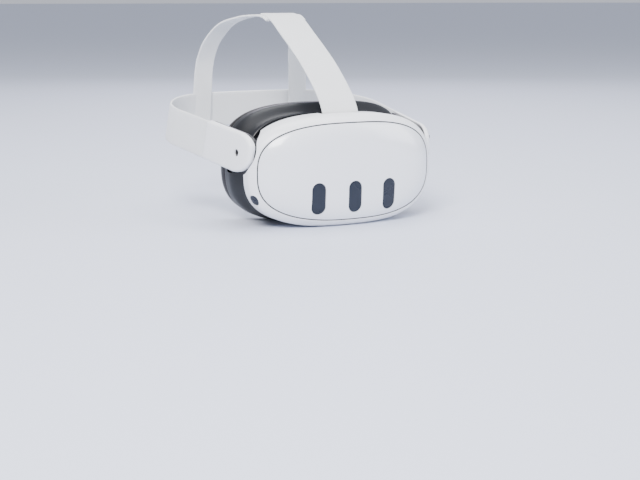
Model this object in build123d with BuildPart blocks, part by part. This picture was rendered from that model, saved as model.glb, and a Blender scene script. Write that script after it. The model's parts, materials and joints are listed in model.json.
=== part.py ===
from build123d import *
from math import cos, radians, sin, sqrt
import os

# A stand-alone virtual-reality headset with a soft three-point strap, in millimetres.
# +X points to the wearer's left, +Y from the front cover to the back of the head, +Z up.
# Sketches use the visor's datum: the middle of the front cover in x and z, and y = 0 just
# before its foremost point. FRONT and MID place that datum over the base, which is z = 0.
FRONT = -115.655
MID = 49.0

# Visor outline: half sizes, with the bow and corner radii as shares of them.
RIM_W, RIM_H = 92.0, 49.5
COVER_W, COVER_H = 86.2, 42.8
BOW = 3.3
CORNER = 0.81
FRONT_RADIUS = 250.0
COVER_FRONT, COVER_REAR = 1.4, 5.9
SEAL = 0.8
RIM_REAR = 37.0
WALL = 2.2
REACH = 130.0

# Camera windows in the front cover.
WINDOW_X, WINDOW_Z = 35.3, -22.2
WINDOW_W, WINDOW_L = 13.0, 28.0
SIDE_WINDOW = (87.0, 31.0, -23.0)
SIDE_WINDOW_L, SIDE_WINDOW_W = 14.0, 8.0

# Rear housing, the black body that carries the eyepieces and the hinges.
TUBE_W, TUBE_H = 80.0, 46.2
TUBE_FRONT, TUBE_REAR = 24.0, 62.0
FLOOR_FRONT, FLOOR_REAR = 40.0, 42.0

# Eyepieces, at a pupil distance of 64.5, and the screw that spreads them.
PUPIL = 32.25
PUPIL_TRAVEL = 3.25
BARREL_R = 24.0
LENS_R = 22.2
ROD_R = 1.5
FIT = 0.06
ROD_Y, ROD_Z = 27.0, 28.0
ROD_END, SCREW_END = 72.0, 64.0
SCREW_Y, SCREW_Z = 26.0, -34.6
WHEEL_R, WHEEL_GRIPS = 8.4, 24

# Facial interface, which telescopes over the rear housing by DEPTH_TRAVEL.
FACE_W, FACE_H, FACE_Z = 87.5, 54.0, 3.0
SKIRT_W, SKIRT_H = 82.4, 48.6
SKIRT_FRONT, SKIRT_BEND, FACE_BEND = 50.0, 57.0, 70.0
FACE_FRONT, FACE_REAR = 64.0, 79.0
FACE_RADIUS = 203.6
NOSE_W, NOSE_H = 20.0, 35.0
SHELL = 1.8

# Head band, in its own plane through the hinges, tilted up towards the back.
PIVOT_Y, PIVOT_Z = 42.0, 17.5
TILT = 7.05
BAND_X = 95.6
BAND_SPLAY = 7.2
BAND_BACK = 184.5
BAND_BACK_RADIUS = 619.0
BAND_CORNER = 67.5
BAND_HALF = 17.5
ARM_END = 56.0
ARM_SHELL, ARM_DEPTH = 4.5, 8.4
STRAP_JOIN = 112.0
STRAP_OUT, STRAP_IN = 0.4, 2.6
LEG_IN = 4.6
LEG_X0, LEG_X1 = 42.9, 62.9
PIN_R = 4.0
BOSS_R = 7.0
BOSS_IN, BOSS_OUT = 74.0, 82.6
NOTCH_R = 18.5

# Top strap.
STRAP_WIDTH = 36.0
STRAP = 2.0

# Sockets in the arms.
BAR_Y, BAR_Z = 31.5, 50.4
SLOT_X, SLOT_Y = 25.5, 27.5
JACK_R, PLUG_R = 3.2, 1.75
JACK_MOUTH, JACK_END = 95.4, 82.7
PORT_Y, PORT_Z = 33.5, 23.0

os.makedirs("parts", exist_ok=True)

PIVOT = (0, FRONT + PIVOT_Y, MID + PIVOT_Z)
LEAN = radians(TILT)
BAND = Plane(PIVOT, x_dir=(1, 0, 0), z_dir=(0, -sin(LEAN), cos(LEAN)))
ARM_SIDE = Plane(PIVOT, x_dir=(0, cos(LEAN), sin(LEAN)), z_dir=(1, 0, 0))


def save(piece, name):
    """Label a finished piece and write it as its own file."""
    piece.label = name
    export_step(piece, f"parts/{name}.step")


def save_pair(piece, name):
    """Write the piece on the wearer's left, and its mirror image on the right."""
    save(piece, f"{name}_left")
    save(mirror(piece, about=Plane.YZ), f"{name}_right")


def across(y):
    """Plane that faces the front, y behind the datum: x to the left, y up."""
    return Plane((0, FRONT + y, MID), x_dir=(1, 0, 0), z_dir=(0, -1, 0))


def level(z):
    """Horizontal plane at height z over the datum: x to the left, y to the back."""
    return Plane((0, FRONT, MID + z))


def upright(x):
    """Plane that faces the wearer's left at x: x to the back, y up."""
    return Plane((x, FRONT, MID), x_dir=(0, 1, 0), z_dir=(1, 0, 0))


def hinge_plane(x):
    """Plane that faces the wearer's left at x, with its origin on the hinge axis."""
    return Plane((x, PIVOT[1], PIVOT[2]), x_dir=(0, 1, 0), z_dir=(1, 0, 0))


def outline(half_width, half_height, mode=Mode.ADD):
    """Visor outline: bowed top and bottom, large corner arcs and upright sides."""
    bow = BOW * half_width
    corner = CORNER * half_height
    lean = (half_width - corner) / (bow - corner)
    rise = sqrt(1 - lean**2)
    touch = (lean * bow, half_height - bow + rise * bow)
    side = (half_width, half_height - bow + rise * (bow - corner))
    with BuildLine() as loop:
        TangentArc((0, half_height), touch, tangent=(1, 0))
        TangentArc(touch, side, tangent=(rise, -lean))
        Line(side, (half_width, 0))
        mirror(about=Plane.XZ)
        mirror(about=Plane.YZ)
    make_face(loop.edges(), mode=mode)


def bowed_strip(front, rear, radius, flat_rear=False):
    """Plan area between two arcs that bow to the front, or an arc and a straight rear edge."""
    sag = radius - sqrt(radius**2 - REACH**2)
    end = REACH if flat_rear else rear + sag
    with BuildLine() as loop:
        ThreePointArc((-REACH, front + sag), (0, front), (REACH, front + sag))
        Line((REACH, front + sag), (REACH, end))
        Line((-REACH, front + sag), (-REACH, end))
        if flat_rear:
            Line((-REACH, end), (REACH, end))
        else:
            ThreePointArc((-REACH, end), (0, rear), (REACH, end))
    make_face(loop.edges())
    if flat_rear:
        with Locations((0, rear - REACH)):
            Rectangle(2 * REACH, 2 * REACH, mode=Mode.INTERSECT)


def slab(half_width, half_height, front, rear, edge=0.0, flat_rear=False):
    """Visor outline between the bowed surface at front and one at rear, front edge rounded."""
    with BuildPart() as solid:
        with BuildSketch(across(0)):
            outline(half_width, half_height)
        extrude(amount=REACH, both=True)
        with BuildSketch(level(0)):
            bowed_strip(front, rear, FRONT_RADIUS, flat_rear)
        extrude(amount=REACH, both=True, mode=Mode.INTERSECT)
        if edge:
            fillet(solid.faces().sort_by(Axis.Y)[0].edges(), edge)
    return solid.part


def prism(half_width, half_height, front, rear):
    """Visor outline from the flat section at front to the one at rear."""
    with BuildPart() as solid:
        with BuildSketch(across(rear)):
            outline(half_width, half_height)
        extrude(amount=rear - front)
    return solid.part


def cut_below_base():
    """Trim the piece in hand to the flat base."""
    with Locations((0, 0, -REACH)):
        Box(4 * REACH, 4 * REACH, 2 * REACH, mode=Mode.SUBTRACT)


# ---- Front cover, camera windows and the seal at the parting line ----

cover_inside = slab(COVER_W - WALL, COVER_H - WALL, COVER_FRONT + WALL, COVER_REAR, 1.9)
window_skin = slab(COVER_W, COVER_H, COVER_FRONT + 0.2, COVER_FRONT + WALL)
WINDOW_SPOTS = {"right": -WINDOW_X, "centre": 0.0, "left": WINDOW_X}

with BuildPart() as front_cover:
    add(slab(COVER_W, COVER_H, COVER_FRONT, COVER_REAR, 3.9))
    add(cover_inside, mode=Mode.SUBTRACT)
    with BuildSketch(across(10)):
        with Locations(*[(x, WINDOW_Z) for x in WINDOW_SPOTS.values()]):
            SlotOverall(WINDOW_L, WINDOW_W, rotation=90)
    extrude(amount=2 * REACH, mode=Mode.SUBTRACT)
save(front_cover.part, "front_cover")

for spot, window_x in WINDOW_SPOTS.items():
    with BuildPart() as window:
        with BuildSketch(across(10)):
            with Locations((window_x, WINDOW_Z)):
                SlotOverall(WINDOW_L, WINDOW_W, rotation=90)
        extrude(amount=30)
        add(window_skin, mode=Mode.INTERSECT)
    save(window.part, f"camera_window_{spot}")

with BuildPart() as parting_seal:
    add(slab(COVER_W - 0.2, COVER_H - 0.2, COVER_REAR, COVER_REAR + SEAL))
    add(slab(COVER_W - 3.2, COVER_H - 3.2, COVER_REAR, COVER_REAR + SEAL), mode=Mode.SUBTRACT)
save(parting_seal.part, "parting_seal")


# ---- Rim housing: the white ring between the cover and the rear housing ----


def side_window_plane(side):
    """Plane on the rim at the lower side camera, facing out; side is 1 for the left."""
    x, y, z = SIDE_WINDOW
    corner = CORNER * RIM_H
    out = Vector(side * (x - RIM_W + corner), 0, z + 4).normalized()
    return Plane((side * x, FRONT + y, MID + z), x_dir=(0, 1, 0), z_dir=out)


RIM_FRONT = COVER_REAR + SEAL
WHEEL_X0, WHEEL_X1 = 55.0, 60.0
ROCKER_X, ROCKER_Y = -40.0, 28.0
ROCKER_L, ROCKER_W = 18.0, 5.0
POWER_Y, POWER_Z, POWER_R = 29.0, -9.0, 3.2

with BuildPart() as rim_housing:
    add(slab(RIM_W, RIM_H, RIM_FRONT, RIM_REAR, 5.6, flat_rear=True))
    add(slab(COVER_W - 3.2, COVER_H - 3.2, RIM_FRONT, RIM_REAR, flat_rear=True), mode=Mode.SUBTRACT)
    add(slab(RIM_W - 2.5, RIM_H - 2.5, RIM_FRONT + 3.2, RIM_REAR, flat_rear=True), mode=Mode.SUBTRACT)
    with BuildSketch(hinge_plane(0)):
        Circle(NOTCH_R)
    extrude(amount=REACH, both=True, mode=Mode.SUBTRACT)
    for side in (1, -1):
        with BuildSketch(side_window_plane(side)):
            SlotOverall(SIDE_WINDOW_L, SIDE_WINDOW_W, rotation=90)
        extrude(amount=6, both=True, mode=Mode.SUBTRACT)
    with BuildSketch(upright(REACH)):
        with Locations((POWER_Y, POWER_Z)):
            Circle(POWER_R)
    extrude(amount=-60, mode=Mode.SUBTRACT)
    with BuildSketch(level(-30)):
        with Locations(((WHEEL_X0 + WHEEL_X1) / 2, SCREW_Y)):
            Rectangle(WHEEL_X1 - WHEEL_X0 + 1.2, 2 * WHEEL_R + 1.2)
        with Locations((ROCKER_X, ROCKER_Y)):
            SlotOverall(ROCKER_L + 0.8, ROCKER_W + 0.8)
    extrude(amount=-30, mode=Mode.SUBTRACT)
    with BuildSketch(level(40)):
        with Locations((0, (SLOT_Y + REACH) / 2)):
            Rectangle(2 * SLOT_X, REACH - SLOT_Y)
    extrude(amount=20, mode=Mode.SUBTRACT)
    cut_below_base()
save(rim_housing.part, "rim_housing")

with BuildPart() as side_window:
    with BuildSketch(side_window_plane(1).offset(-0.8)):
        SlotOverall(SIDE_WINDOW_L, SIDE_WINDOW_W, rotation=90)
    extrude(amount=-1.5)
save_pair(side_window.part, "side_camera_window")

with BuildPart() as side_camera:
    with BuildSketch(side_window_plane(1).offset(-3.2)):
        Rectangle(6, 11)
    extrude(amount=-5)
    with BuildSketch(side_window_plane(1).offset(-3.2)):
        Circle(2.4)
    extrude(amount=0.8)
save_pair(side_camera.part, "side_camera")


# ---- Inside the visor: frame, board, cooling, battery and front cameras ----

FRAME_FRONT, FRAME_REAR = 13.4, 15.0
BOARD_FRONT = FRAME_FRONT - 1.2
RIM_INSIDE = 2.6
SCREW_SPOTS = [(30, 41.5), (30, -41.5), (-30, 41.5), (-30, -41.5)]
CAMERA_DEPTH, CAMERA_EYE_R, CAMERA_EYE_Z = 3.2, 3.6, 6.5
PROJECTOR_DEPTH = 6.0
BATTERY_FRONT, BATTERY_DEPTH = 15.0, 4.8
FAN_Z, FAN_R, FAN_FRONT, FAN_REAR = 16.0, 14.0, 4.6, 10.6

with BuildPart() as front_frame:
    with BuildSketch(across(FRAME_REAR)):
        outline(68, 37)
        with Locations((30, 0), (-30, 0)):
            Rectangle(10, 96)
        outline(RIM_W - RIM_INSIDE, RIM_H - RIM_INSIDE, mode=Mode.INTERSECT)
        with Locations((0, 28), (0, -28)):
            SlotOverall(36, 8, mode=Mode.SUBTRACT)
    extrude(amount=FRAME_REAR - FRAME_FRONT)
save(front_frame.part, "front_frame")

with BuildPart() as main_board:
    with BuildSketch(across(FRAME_FRONT)):
        RectangleRounded(116, 60, 6)
    extrude(amount=1.2)
    with BuildSketch(across(BOARD_FRONT)):
        with Locations((38, 14), (-38, 14), (-38, 2)):
            Rectangle(14, 9)
    extrude(amount=1.4)
save(main_board.part, "main_board")

with BuildPart() as heat_sink:
    with BuildSketch(across(BOARD_FRONT)):
        with Locations((0, FAN_Z)):
            Rectangle(50, 30)
    extrude(amount=1.2)
save(heat_sink.part, "heat_sink")

with BuildPart() as fan_housing:
    with BuildSketch(across(FAN_REAR + 0.4)):
        with Locations((0, FAN_Z)):
            RectangleRounded(33, 33, 6)
    extrude(amount=FAN_REAR + 0.4 - FAN_FRONT)
    with BuildSketch(across(FAN_REAR - 0.6)):
        with Locations((0, FAN_Z)):
            Circle(FAN_R + 0.8)
    extrude(amount=20, mode=Mode.SUBTRACT)
    with BuildSketch(across(FAN_REAR)):
        with Locations((0, FAN_Z)):
            Circle(1.5)
    extrude(amount=5)
save(fan_housing.part, "fan_housing")

with BuildPart() as fan_rotor:
    with BuildSketch(across(FAN_REAR - 1.0)):
        with Locations((0, FAN_Z)):
            Circle(6)
            with PolarLocations(8.6, 11):
                Rectangle(8, 1.2)
    extrude(amount=4.6)
    with BuildSketch(across(FAN_REAR)):
        with Locations((0, FAN_Z)):
            Circle(1.5 + FIT)
    extrude(amount=5.6, mode=Mode.SUBTRACT)
save(fan_rotor.part, "fan_rotor")

with BuildPart() as battery:
    with BuildSketch(across(BATTERY_FRONT + BATTERY_DEPTH)):
        RectangleRounded(78, 42, 4)
    extrude(amount=BATTERY_DEPTH)
save(battery.part, "battery")

for spot, camera_x in (("right", -WINDOW_X), ("left", WINDOW_X)):
    with BuildPart() as camera_pair:
        with BuildSketch(across(BOARD_FRONT)):
            with Locations((camera_x, WINDOW_Z)):
                RectangleRounded(12, 26, 2)
        extrude(amount=CAMERA_DEPTH)
        with BuildSketch(across(BOARD_FRONT - CAMERA_DEPTH)):
            with Locations((camera_x, WINDOW_Z + CAMERA_EYE_Z), (camera_x, WINDOW_Z - CAMERA_EYE_Z)):
                Circle(CAMERA_EYE_R)
        extrude(amount=2.2)
    save(camera_pair.part, f"camera_pair_{spot}")

with BuildPart() as depth_projector:
    with BuildSketch(across(BOARD_FRONT)):
        with Locations((0, WINDOW_Z)):
            RectangleRounded(11, 20, 2)
    extrude(amount=PROJECTOR_DEPTH)
    with BuildSketch(across(BOARD_FRONT - PROJECTOR_DEPTH)):
        with Locations((0, WINDOW_Z)):
            Rectangle(6, 6)
    extrude(amount=1.6)
save(depth_projector.part, "depth_projector")


# ---- Rear housing with its lens openings and hinge bosses ----

with BuildPart() as rear_housing:
    add(prism(TUBE_W, TUBE_H, TUBE_FRONT, TUBE_REAR))
    add(prism(TUBE_W - 2, TUBE_H - 2, TUBE_FRONT, FLOOR_FRONT), mode=Mode.SUBTRACT)
    add(prism(TUBE_W - 2, TUBE_H - 2, FLOOR_REAR, TUBE_REAR), mode=Mode.SUBTRACT)
    with BuildSketch(across(RIM_REAR - 0.2)):
        outline(RIM_W - RIM_INSIDE, RIM_H - RIM_INSIDE)
        outline(TUBE_W - 1, TUBE_H - 1, mode=Mode.SUBTRACT)
    extrude(amount=2)
    for side in (1, -1):
        with BuildSketch(hinge_plane(side * (TUBE_W + 3.8))):
            Circle(NOTCH_R)
        extrude(amount=side * 20, mode=Mode.SUBTRACT)
        with BuildSketch(hinge_plane(side * BOSS_IN)):
            Circle(BOSS_R)
        extrude(amount=side * (BOSS_OUT - BOSS_IN))
    with BuildSketch(hinge_plane(0)):
        Circle(PIN_R + FIT)
    extrude(amount=REACH, both=True, mode=Mode.SUBTRACT)
    with BuildSketch(upright(0)):
        with Locations((ROD_Y, ROD_Z)):
            Circle(ROD_R)
        with Locations((SCREW_Y, SCREW_Z)):
            Circle(ROD_R + FIT)
    extrude(amount=REACH, both=True, mode=Mode.SUBTRACT)
    with BuildSketch(across(FLOOR_REAR + 1)):
        with Locations((PUPIL, 0), (-PUPIL, 0)):
            SlotOverall(2 * (BARREL_R + PUPIL_TRAVEL + 2.2), 2 * (BARREL_R + 2.2))
    extrude(amount=4, mode=Mode.SUBTRACT)
    with BuildSketch(level(-30)):
        with Locations(((WHEEL_X0 + WHEEL_X1) / 2, SCREW_Y)):
            Rectangle(WHEEL_X1 - WHEEL_X0 + 1.2, 2 * WHEEL_R + 1.2)
        with Locations((ROCKER_X, ROCKER_Y)):
            Rectangle(ROCKER_L + 2, ROCKER_W + 2)
    extrude(amount=-30, mode=Mode.SUBTRACT)
save(rear_housing.part, "rear_housing")

with BuildPart() as lens_diaphragm:
    with BuildSketch(across(FLOOR_REAR + 0.8)):
        outline(70, 42)
        with Locations((PUPIL, 0), (-PUPIL, 0)):
            SlotOverall(2 * (BARREL_R + PUPIL_TRAVEL + 0.6), 2 * (BARREL_R + 0.6), mode=Mode.SUBTRACT)
    extrude(amount=0.8)
save(lens_diaphragm.part, "lens_diaphragm")

with BuildPart() as proximity_sensor:
    with BuildSketch(across(FLOOR_REAR + 3)):
        with Locations((0, 31)):
            SlotOverall(12, 6)
    extrude(amount=2.2)
save(proximity_sensor.part, "proximity_sensor")


# ---- Eyepieces: display, barrel with its carriage, and lens ----

BARREL_FRONT, BARREL_REAR = 22.5, 43.0
DISPLAY, DISPLAY_DEPTH = 44.0, 2.0
LENS_FRONT, LENS_EDGE, LENS_CROWN = 34.0, 41.0, 44.5

with BuildPart() as display:
    with BuildSketch(across(BARREL_FRONT)):
        with Locations((PUPIL, 0)):
            RectangleRounded(DISPLAY, DISPLAY, 3)
    extrude(amount=DISPLAY_DEPTH)
save_pair(display.part, "display")

with BuildPart() as lens_barrel:
    with BuildSketch(across(BARREL_REAR)):
        with Locations((PUPIL, 0)):
            Circle(BARREL_R)
    extrude(amount=BARREL_REAR - BARREL_FRONT)
    with BuildSketch(across(30)):
        with Locations((PUPIL, -2.8)):
            RectangleRounded(36, 70, 3)
    extrude(amount=6)
    with BuildSketch(across(BARREL_REAR)):
        with Locations((PUPIL, 0)):
            Circle(LENS_R)
    extrude(amount=BARREL_REAR - BARREL_FRONT, mode=Mode.SUBTRACT)
    with BuildSketch(upright(0)):
        with Locations((ROD_Y, ROD_Z), (SCREW_Y, SCREW_Z)):
            Circle(ROD_R + FIT)
    extrude(amount=REACH, mode=Mode.SUBTRACT)
save_pair(lens_barrel.part, "lens_barrel")

with BuildPart() as lens:
    with BuildSketch(Plane((PUPIL, FRONT, MID))):
        with BuildLine():
            Line((0, LENS_FRONT), (LENS_R, LENS_FRONT))
            Line((LENS_R, LENS_FRONT), (LENS_R, LENS_EDGE))
            TangentArc((0, LENS_CROWN), (LENS_R, LENS_EDGE), tangent=(1, 0))
            Line((0, LENS_CROWN), (0, LENS_FRONT))
        make_face()
    revolve(axis=Axis((PUPIL, FRONT, MID), (0, 1, 0)))
save_pair(lens.part, "lens")

with BuildPart() as guide_rod:
    with BuildSketch(upright(0)):
        with Locations((ROD_Y, ROD_Z)):
            Circle(ROD_R)
    extrude(amount=ROD_END, both=True)
save(guide_rod.part, "guide_rod")

with BuildPart() as ipd_screw:
    with BuildSketch(upright(0)):
        with Locations((SCREW_Y, SCREW_Z)):
            Circle(ROD_R)
    extrude(amount=SCREW_END, both=True)
save(ipd_screw.part, "ipd_screw")

with BuildPart() as ipd_wheel:
    with BuildSketch(upright(WHEEL_X0)):
        with Locations((SCREW_Y, SCREW_Z)):
            Circle(WHEEL_R)
            with PolarLocations(WHEEL_R, WHEEL_GRIPS):
                Circle(0.5, mode=Mode.SUBTRACT)
            Circle(ROD_R, mode=Mode.SUBTRACT)
    extrude(amount=WHEEL_X1 - WHEEL_X0)
save(ipd_wheel.part, "ipd_wheel")


# ---- Controls on the visor ----

with BuildPart() as volume_rocker:
    with BuildSketch(level(-39)):
        with Locations((ROCKER_X, ROCKER_Y)):
            SlotOverall(ROCKER_L, ROCKER_W)
    extrude(amount=-7.2)
    fillet(volume_rocker.faces().sort_by(Axis.Z)[0].edges(), 0.8)
save(volume_rocker.part, "volume_rocker")

with BuildPart() as power_button:
    with BuildSketch(upright(86)):
        with Locations((POWER_Y, POWER_Z)):
            Circle(POWER_R - 0.3)
    extrude(amount=5.8)
    fillet(power_button.faces().sort_by(Axis.X)[-1].edges(), 0.5)
save(power_button.part, "power_button")


# ---- Facial interface ----


def face_shell(width, height, front_width, front_height, front):
    """Interface body: straight skirt, flare, then straight back to the face."""
    with BuildPart() as solid:
        with BuildSketch(across(SKIRT_BEND)):
            outline(front_width, front_height)
        extrude(amount=SKIRT_BEND - front)
        with BuildSketch(across(SKIRT_BEND)):
            outline(front_width, front_height)
        with BuildSketch(across(FACE_BEND)):
            with Locations((0, FACE_Z)):
                outline(width, height)
        loft(ruled=True)
        with BuildSketch(across(FACE_BEND)):
            with Locations((0, FACE_Z)):
                outline(width, height)
        extrude(amount=-40)
    return solid.part


def face_block(front, rear):
    """Space between two arcs that follow the forehead and the temples."""
    with BuildPart() as solid:
        with BuildSketch(level(0)):
            with BuildLine():
                sag = FACE_RADIUS - sqrt(FACE_RADIUS**2 - REACH**2)
                ThreePointArc((-REACH, rear + sag), (0, rear), (REACH, rear + sag))
                if front is None:
                    Polyline((-REACH, rear + sag), (-REACH, 0), (REACH, 0), (REACH, rear + sag))
                else:
                    Line((REACH, rear + sag), (REACH, front + sag))
                    ThreePointArc((-REACH, front + sag), (0, front), (REACH, front + sag))
                    Line((-REACH, rear + sag), (-REACH, front + sag))
            make_face()
        extrude(amount=REACH, both=True)
    return solid.part


def cut_nose(start):
    """Cut the arch for the nose through everything behind start."""
    with BuildSketch(across(start)) as arch:
        with Locations((0, -MID)):
            Ellipse(NOSE_W, NOSE_H)
    extrude(arch.sketch, amount=-REACH, mode=Mode.SUBTRACT)


interface_inside = face_shell(FACE_W - SHELL, FACE_H - SHELL, SKIRT_W - SHELL, SKIRT_H - SHELL, SKIRT_FRONT)
BUTTON_Y, BUTTON_L, BUTTON_W = 73.0, 11.0, 7.0

with BuildPart() as interface_frame:
    add(face_shell(FACE_W, FACE_H, SKIRT_W, SKIRT_H, SKIRT_FRONT))
    add(interface_inside, mode=Mode.SUBTRACT)
    add(face_block(None, FACE_FRONT), mode=Mode.INTERSECT)
    cut_nose(60)
    with BuildSketch(upright(0)):
        with Locations((BUTTON_Y, 0)):
            SlotOverall(BUTTON_L + 0.6, BUTTON_W + 0.6)
    extrude(amount=REACH, both=True, mode=Mode.SUBTRACT)
    cut_below_base()
save(interface_frame.part, "interface_frame")

with BuildPart() as face_cushion:
    with BuildSketch(across(FACE_FRONT)):
        with Locations((0, FACE_Z)):
            outline(FACE_W, FACE_H)
            outline(FACE_W - 14, FACE_H - 13, mode=Mode.SUBTRACT)
    extrude(amount=-50)
    add(face_block(FACE_FRONT, FACE_REAR), mode=Mode.INTERSECT)
    cut_nose(60)
    cut_below_base()
save(face_cushion.part, "face_cushion")

with BuildPart() as nose_blocker:
    with BuildSketch(across(FACE_FRONT)):
        with Locations((0, -MID)):
            Ellipse(NOSE_W, NOSE_H)
            Ellipse(NOSE_W - 7, NOSE_H - 13, mode=Mode.SUBTRACT)
        with Locations((0, MID)):
            Rectangle(REACH, 4 * MID, mode=Mode.INTERSECT)
    extrude(amount=2)
save(nose_blocker.part, "nose_blocker")

with BuildPart() as depth_button:
    with BuildSketch(upright(FACE_W - SHELL - 1.2)):
        with Locations((BUTTON_Y, 0)):
            SlotOverall(BUTTON_L, BUTTON_W)
    extrude(amount=2.6)
save_pair(depth_button.part, "depth_button")


# ---- Arms, hinge pins, speakers and sockets ----

SPLAY = radians(BAND_SPLAY)
SIDE_RUN = Vector(sin(SPLAY), cos(SPLAY))
SIDE_NORMAL = Vector(cos(SPLAY), -sin(SPLAY))
BACK_CENTRE = Vector(0, BAND_BACK - BAND_BACK_RADIUS)
from_back = Vector(BAND_X, 0) - SIDE_NORMAL * BAND_CORNER - BACK_CENTRE
along = from_back.dot(SIDE_RUN)
run = -along + sqrt(along**2 - from_back.dot(from_back) + (BAND_BACK_RADIUS - BAND_CORNER) ** 2)
TURN_CENTRE = BACK_CENTRE + from_back + SIDE_RUN * run
BACK_NORMAL = (TURN_CENTRE - BACK_CENTRE).normalized()


def band_outline(inset, mode=Mode.ADD):
    """Plan of the head band's face that lies inset inside its outer face."""
    start = -40.0
    side = Vector(BAND_X, 0) - SIDE_NORMAL * inset + SIDE_RUN * start
    turn = TURN_CENTRE + SIDE_NORMAL * (BAND_CORNER - inset)
    back = TURN_CENTRE + BACK_NORMAL * (BAND_CORNER - inset)
    with BuildLine() as loop:
        Line((0, side.Y), side)
        Line(side, turn)
        TangentArc(turn, back, tangent=SIDE_RUN)
        TangentArc(back, (0, BAND_BACK - inset), tangent=(-BACK_NORMAL.Y, BACK_NORMAL.X))
        mirror(about=Plane.YZ)
    make_face(loop.edges(), mode=mode)


def band_length(outer, inner, start, end, x0, x1, half_height=BAND_HALF):
    """Layer of the band between two insets, start to end along it, x0 to x1 across."""
    with BuildPart() as layer:
        with BuildSketch(BAND):
            band_outline(outer)
            band_outline(inner, mode=Mode.SUBTRACT)
            with Locations(((x0 + x1) / 2, (start + end) / 2)):
                Rectangle(x1 - x0, end - start, mode=Mode.INTERSECT)
        extrude(amount=half_height, both=True)
    return layer.part


def arm_side(inset):
    """Side shape of an arm, with a full-round front end about the hinge."""
    with BuildPart() as side:
        with BuildSketch(ARM_SIDE):
            Circle(BAND_HALF - inset)
            with Locations((ARM_END / 2, 0)):
                Rectangle(ARM_END, 2 * (BAND_HALF - inset))
        extrude(amount=REACH)
    return side.part


def socket_hole(y, z, radius):
    """Round hole along X through the piece in hand."""
    with BuildSketch(upright(0)) as hole:
        with Locations((y, z)):
            Circle(radius)
    extrude(hole.sketch, amount=REACH, both=True, mode=Mode.SUBTRACT)


def port_hole():
    """Hole for the charging socket through the left arm's outer shell."""
    with BuildSketch(upright(86)) as hole:
        with Locations((PORT_Y, PORT_Z)):
            SlotOverall(10.2, 4.4)
    extrude(hole.sketch, amount=REACH, mode=Mode.SUBTRACT)


SPEAKER_Y0, SPEAKER_Y1, SPEAKER_H = 22.0, 50.0, 12.0
SPEAKER_IN, SPEAKER_OUT = ARM_SHELL, ARM_SHELL - 2.6
left_shell = band_length(0, ARM_SHELL, -30, ARM_END, 0, REACH)
speaker_box = band_length(SPEAKER_OUT, SPEAKER_IN, SPEAKER_Y0, SPEAKER_Y1, 0, REACH, SPEAKER_H / 2)

with BuildPart() as arm_shell:
    add(left_shell)
    add(arm_side(0), mode=Mode.INTERSECT)
    fillet(arm_shell.faces().sort_by(Axis.X)[-1].edges(), 2.0)
    add(speaker_box, mode=Mode.SUBTRACT)

with BuildPart() as arm_shell_left:
    add(arm_shell.part)
    port_hole()
save(arm_shell_left.part, "arm_shell_left")

with BuildPart() as arm_shell_right:
    add(mirror(arm_shell.part, about=Plane.YZ))
    socket_hole(PIVOT_Y, PIVOT_Z, JACK_R)
save(arm_shell_right.part, "arm_shell_right")

with BuildPart() as arm_liner:
    add(band_length(ARM_SHELL, ARM_DEPTH, -30, ARM_END, 0, REACH))
    add(arm_side(1.0), mode=Mode.INTERSECT)
    with BuildSketch(hinge_plane(0)):
        Circle(PIN_R)
    extrude(amount=REACH, mode=Mode.SUBTRACT)

with BuildPart() as arm_liner_left:
    add(arm_liner.part)
    port_hole()
save(arm_liner_left.part, "arm_liner_left")

with BuildPart() as arm_liner_right:
    add(mirror(arm_liner.part, about=Plane.YZ))
    socket_hole(PIVOT_Y, PIVOT_Z, JACK_R)
save(arm_liner_right.part, "arm_liner_right")

save_pair(speaker_box, "speaker")

with BuildPart() as hinge_pin:
    with BuildSketch(hinge_plane(BOSS_IN + 0.4)):
        Circle(PIN_R)
        Circle(JACK_R + FIT, mode=Mode.SUBTRACT)
    extrude(amount=BAND_X - ARM_SHELL - 1.2 - BOSS_IN)
save_pair(hinge_pin.part, "hinge_pin")

with BuildPart() as audio_jack:
    with BuildSketch(upright(-JACK_MOUTH)):
        with Locations((PIVOT_Y, PIVOT_Z)):
            Circle(JACK_R)
            Circle(PLUG_R, mode=Mode.SUBTRACT)
    extrude(amount=JACK_MOUTH - JACK_END)
save(audio_jack.part, "audio_jack")

with BuildPart() as charging_port:
    with BuildSketch(upright(86.6)):
        with Locations((PORT_Y, PORT_Z)):
            SlotOverall(10.2, 4.4)
    extrude(amount=7.2)
    with BuildSketch(upright(87.6)):
        with Locations((PORT_Y, PORT_Z)):
            SlotOverall(8.6, 2.8)
            Rectangle(6.7, 0.7, mode=Mode.SUBTRACT)
    extrude(amount=8, mode=Mode.SUBTRACT)
save(charging_port.part, "charging_port")


# ---- Straps ----

save_pair(band_length(STRAP_OUT, STRAP_IN, ARM_END, STRAP_JOIN, 0, REACH), "side_strap")
save(band_length(STRAP_OUT, STRAP_IN, STRAP_JOIN, 2 * REACH, -REACH, REACH), "rear_band")

# Stations up the left rear leg: centre from the datum, and how far its width turns from X.
LEG_STATIONS = (
    (53.0, 218.1, 48.4, 0),
    (52.8, 216.7, 60.0, 0),
    (52.2, 215.6, 75.0, 2),
    (50.7, 212.8, 91.0, 6),
    (46.9, 204.3, 108.0, 10),
    (37.4, 192.2, 124.2, 16),
    (26.0, 177.9, 131.2, 26),
    (14.0, 158.0, 133.6, 30),
)
LEG_WIDTH = 19.8


def leg_plane(index):
    """Plane across the leg at a station: x along its width, y along its thickness."""
    here = Vector(*LEG_STATIONS[index][:3])
    before = Vector(*LEG_STATIONS[max(index - 1, 0)][:3])
    after = Vector(*LEG_STATIONS[min(index + 1, len(LEG_STATIONS) - 1)][:3])
    turn = radians(LEG_STATIONS[index][3])
    path = (after - before).normalized()
    width = Vector(cos(turn), -sin(turn), 0)
    width = (width - path * width.dot(path)).normalized()
    return Plane(here + Vector(0, FRONT, MID), x_dir=width, z_dir=path)


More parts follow.
